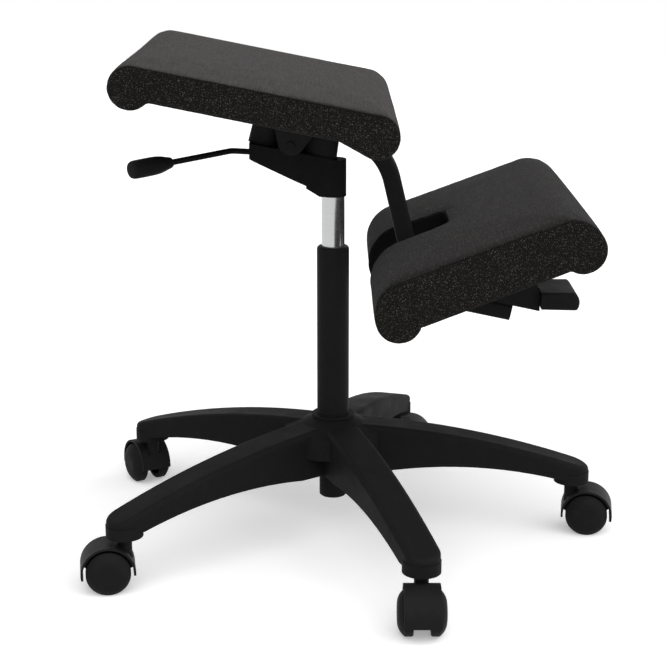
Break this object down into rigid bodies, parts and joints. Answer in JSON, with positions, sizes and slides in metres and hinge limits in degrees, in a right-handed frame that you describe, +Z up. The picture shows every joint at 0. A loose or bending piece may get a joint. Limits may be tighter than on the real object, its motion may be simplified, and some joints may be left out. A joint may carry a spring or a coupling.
{
  "type": "kneeling chair",
  "caption": "Kneeling office chair: sloped seat and knee pad on a bent bar, gas lift, five-star base on hooded twin castors.",
  "frame": {"origin": "column axis on the floor", "axes": "+X the way the sitter faces, +Y to the sitter's left, +Z up"},
  "size_m": [0.6497, 0.6502, 0.612],
  "materials": {
    "base_plastic": "satin black moulded plastic",
    "tube_paint": "satin black powder coat",
    "lift_chrome": "bright chrome",
    "inner_steel": "plain ground steel",
    "soft_rubber": "matt black",
    "mechanism_plastic": "satin black",
    "bar_paint": "satin black powder coat",
    "wheel_plastic": "satin black",
    "pad_fabric": "charcoal woven wool",
    "pad_board": "bare plywood"
  },
  "bodies": {
    "base": {"five_star_base": "base_plastic", "gas_lift_tube": "tube_paint", "guide_bush": "mechanism_plastic", "thrust_bearing": "inner_steel", "castor_stem_1": "inner_steel", "castor_stem_2": "inner_steel", "castor_stem_3": "inner_steel", "castor_stem_4": "inner_steel", "castor_stem_5": "inner_steel"},
    "lift_rod": {"piston_rod": "inner_steel", "bump_stop": "soft_rubber", "retaining_clip": "inner_steel"},
    "column": {"gas_cylinder": "lift_chrome", "mechanism_housing": "mechanism_plastic", "tilt_pin": "inner_steel", "lever_fulcrum_pin": "inner_steel", "rear_buffer": "soft_rubber", "front_buffer": "soft_rubber"},
    "release": {"release_pin": "inner_steel"},
    "lever": {"height_lever": "bar_paint", "height_lever_handle": "mechanism_plastic"},
    "seat": {"seat_bracket": "bar_paint", "seat_board": "pad_board", "seat_cushion": "pad_fabric", "seat_screws": "inner_steel", "knee_bar": "bar_paint", "knee_bar_cap": "mechanism_plastic"},
    "knee_pad": {"knee_cushion": "pad_fabric", "knee_board": "pad_board", "knee_carriage": "bar_paint", "knee_screws": "inner_steel", "clamp_nut": "inner_steel", "clamp_eyebolt": "inner_steel", "clamp_pin": "inner_steel"},
    "clamp_lever": {"knee_lever": "bar_paint", "knee_lever_handle": "mechanism_plastic"},
    "castor_1": {"castor_hood_1": "wheel_plastic", "castor_axle_1": "inner_steel"},
    "castor_wheel_left_1": {"castor_wheel_left_1": "wheel_plastic"},
    "castor_wheel_right_1": {"castor_wheel_right_1": "wheel_plastic"},
    "castor_2": {"castor_hood_2": "wheel_plastic", "castor_axle_2": "inner_steel"},
    "castor_wheel_left_2": {"castor_wheel_left_2": "wheel_plastic"},
    "castor_wheel_right_2": {"castor_wheel_right_2": "wheel_plastic"},
    "castor_3": {"castor_hood_3": "wheel_plastic", "castor_axle_3": "inner_steel"},
    "castor_wheel_left_3": {"castor_wheel_left_3": "wheel_plastic"},
    "castor_wheel_right_3": {"castor_wheel_right_3": "wheel_plastic"},
    "castor_4": {"castor_hood_4": "wheel_plastic", "castor_axle_4": "inner_steel"},
    "castor_wheel_left_4": {"castor_wheel_left_4": "wheel_plastic"},
    "castor_wheel_right_4": {"castor_wheel_right_4": "wheel_plastic"},
    "castor_5": {"castor_hood_5": "wheel_plastic", "castor_axle_5": "inner_steel"},
    "castor_wheel_left_5": {"castor_wheel_left_5": "wheel_plastic"},
    "castor_wheel_right_5": {"castor_wheel_right_5": "wheel_plastic"}
  },
  "joints": [
    {"name": "seat_swivel", "type": "hinge", "parent": "base", "child": "lift_rod", "pos_m": [0, 0, 0.055], "axis": [0, 0, 1], "continuous": true},
    {"name": "seat_lift", "type": "slide", "parent": "lift_rod", "child": "column", "axis": [0, 0, 1], "range_m": [-0.055, 0.065]},
    {"name": "seat_tilt", "type": "hinge", "parent": "column", "child": "seat", "pos_m": [-0.05, 0, 0.493], "axis": [0, 1, 0], "range_deg": [-5, 5], "stiffness_Nm_per_rad": 1500, "deforming": ["rear_buffer", "front_buffer"]},
    {"name": "height_lever_turn", "type": "hinge", "parent": "column", "child": "lever", "pos_m": [-0.038, 0, 0.4685], "axis": [0, 1, 0], "range_deg": [0, 7], "stiffness_Nm_per_rad": 4, "springref_deg": -5.73},
    {"name": "release_press", "type": "slide", "parent": "column", "child": "release", "axis": [0, 0, 1], "range_m": [-0.0055, 0]},
    {"name": "knee_slide", "type": "slide", "parent": "seat", "child": "knee_pad", "axis": [0.9781, 0, -0.2079], "range_m": [-0.02, 0.012]},
    {"name": "clamp_lever_turn", "type": "hinge", "parent": "knee_pad", "child": "clamp_lever", "pos_m": [0.19545, 0, 0.32362], "axis": [0, -1, 0], "range_deg": [0, 10], "stiffness_Nm_per_rad": 6, "springref_deg": -5.73},
    {"name": "castor_swivel_1", "type": "hinge", "parent": "base", "child": "castor_1", "pos_m": [0.09668, -0.28399, 0.065], "axis": [0, 0, 1], "continuous": true},
    {"name": "wheel_left_spin_1", "type": "hinge", "parent": "castor_1", "child": "castor_wheel_left_1", "pos_m": [0.09668, -0.3045, 0.026], "axis": [1, 0, 0], "continuous": true},
    {"name": "wheel_right_spin_1", "type": "hinge", "parent": "castor_1", "child": "castor_wheel_right_1", "pos_m": [0.09668, -0.3045, 0.026], "axis": [1, 0, 0], "continuous": true},
    {"name": "castor_swivel_2", "type": "hinge", "parent": "base", "child": "castor_2", "pos_m": [0.29997, 0.00419, 0.065], "axis": [0, 0, 1], "continuous": true},
    {"name": "wheel_left_spin_2", "type": "hinge", "parent": "castor_2", "child": "castor_wheel_left_2", "pos_m": [0.32025, 0.00116, 0.026], "axis": [0.1478, 0.989, 0], "continuous": true},
    {"name": "wheel_right_spin_2", "type": "hinge", "parent": "castor_2", "child": "castor_wheel_right_2", "pos_m": [0.32025, 0.00116, 0.026], "axis": [0.1478, 0.989, 0], "continuous": true},
    {"name": "castor_swivel_3", "type": "hinge", "parent": "base", "child": "castor_3", "pos_m": [0.08871, 0.28658, 0.065], "axis": [0, 0, 1], "continuous": true},
    {"name": "wheel_left_spin_3", "type": "hinge", "parent": "castor_3", "child": "castor_wheel_left_3", "pos_m": [0.10921, 0.28658, 0.026], "axis": [0, 1, 0], "continuous": true},
    {"name": "wheel_right_spin_3", "type": "hinge", "parent": "castor_3", "child": "castor_wheel_right_3", "pos_m": [0.10921, 0.28658, 0.026], "axis": [0, 1, 0], "continuous": true},
    {"name": "castor_swivel_4", "type": "hinge", "parent": "base", "child": "castor_4", "pos_m": [-0.24514, 0.17293, 0.065], "axis": [0, 0, 1], "continuous": true},
    {"name": "wheel_left_spin_4", "type": "hinge", "parent": "castor_4", "child": "castor_wheel_left_4", "pos_m": [-0.2557, 0.1905, 0.026], "axis": [-0.8572, -0.515, 0], "continuous": true},
    {"name": "wheel_right_spin_4", "type": "hinge", "parent": "castor_4", "child": "castor_wheel_right_4", "pos_m": [-0.2557, 0.1905, 0.026], "axis": [-0.8572, -0.515, 0], "continuous": true},
    {"name": "castor_swivel_5", "type": "hinge", "parent": "base", "child": "castor_5", "pos_m": [-0.24022, -0.17971, 0.065], "axis": [0, 0, 1], "continuous": true},
    {"name": "wheel_left_spin_5", "type": "hinge", "parent": "castor_5", "child": "castor_wheel_left_5", "pos_m": [-0.26047, -0.18291, 0.026], "axis": [0.1564, -0.9877, 0], "continuous": true},
    {"name": "wheel_right_spin_5", "type": "hinge", "parent": "castor_5", "child": "castor_wheel_right_5", "pos_m": [-0.26047, -0.18291, 0.026], "axis": [0.1564, -0.9877, 0], "continuous": true}
  ],
  "couplings": [
    {"joint": "release_press", "follows": "height_lever_turn", "m_per_rad": -0.042}
  ]
}
